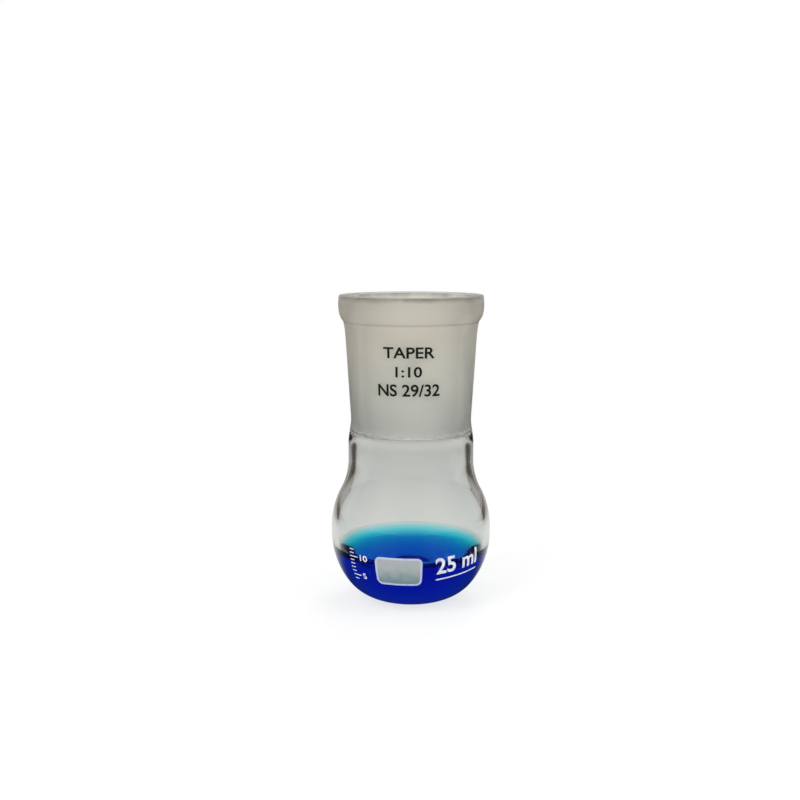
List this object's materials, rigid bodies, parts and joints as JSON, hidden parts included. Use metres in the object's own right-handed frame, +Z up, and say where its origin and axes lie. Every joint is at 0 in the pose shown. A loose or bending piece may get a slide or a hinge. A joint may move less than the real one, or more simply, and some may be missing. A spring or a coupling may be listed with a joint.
{
  "type": "flat-bottomed flask",
  "caption": "Small flat-bottomed laboratory flask of clear glass with a wide ground-glass socket, a beaded rim, a short neck and a round bulb that holds a level blue solution.",
  "frame": {"origin": "centre of the foot's plane, where the flask stands", "axes": "+Z up along the flask's axis, from the foot to the rim; the printed marks face -Y"},
  "size_m": [0.041, 0.041, 0.078],
  "materials": {
    "clear_glass": "fire-polished, clear and colourless",
    "ground_glass": "fine ground, frosted",
    "blue_solution": "clear deep blue liquid",
    "white_enamel": "fired white enamel, thin and slightly rough",
    "dark_enamel": "fired dark green enamel, thin"
  },
  "bodies": {
    "root": {"flask": "clear_glass", "blue_solution": "blue_solution"}
  },
  "joints": []
}
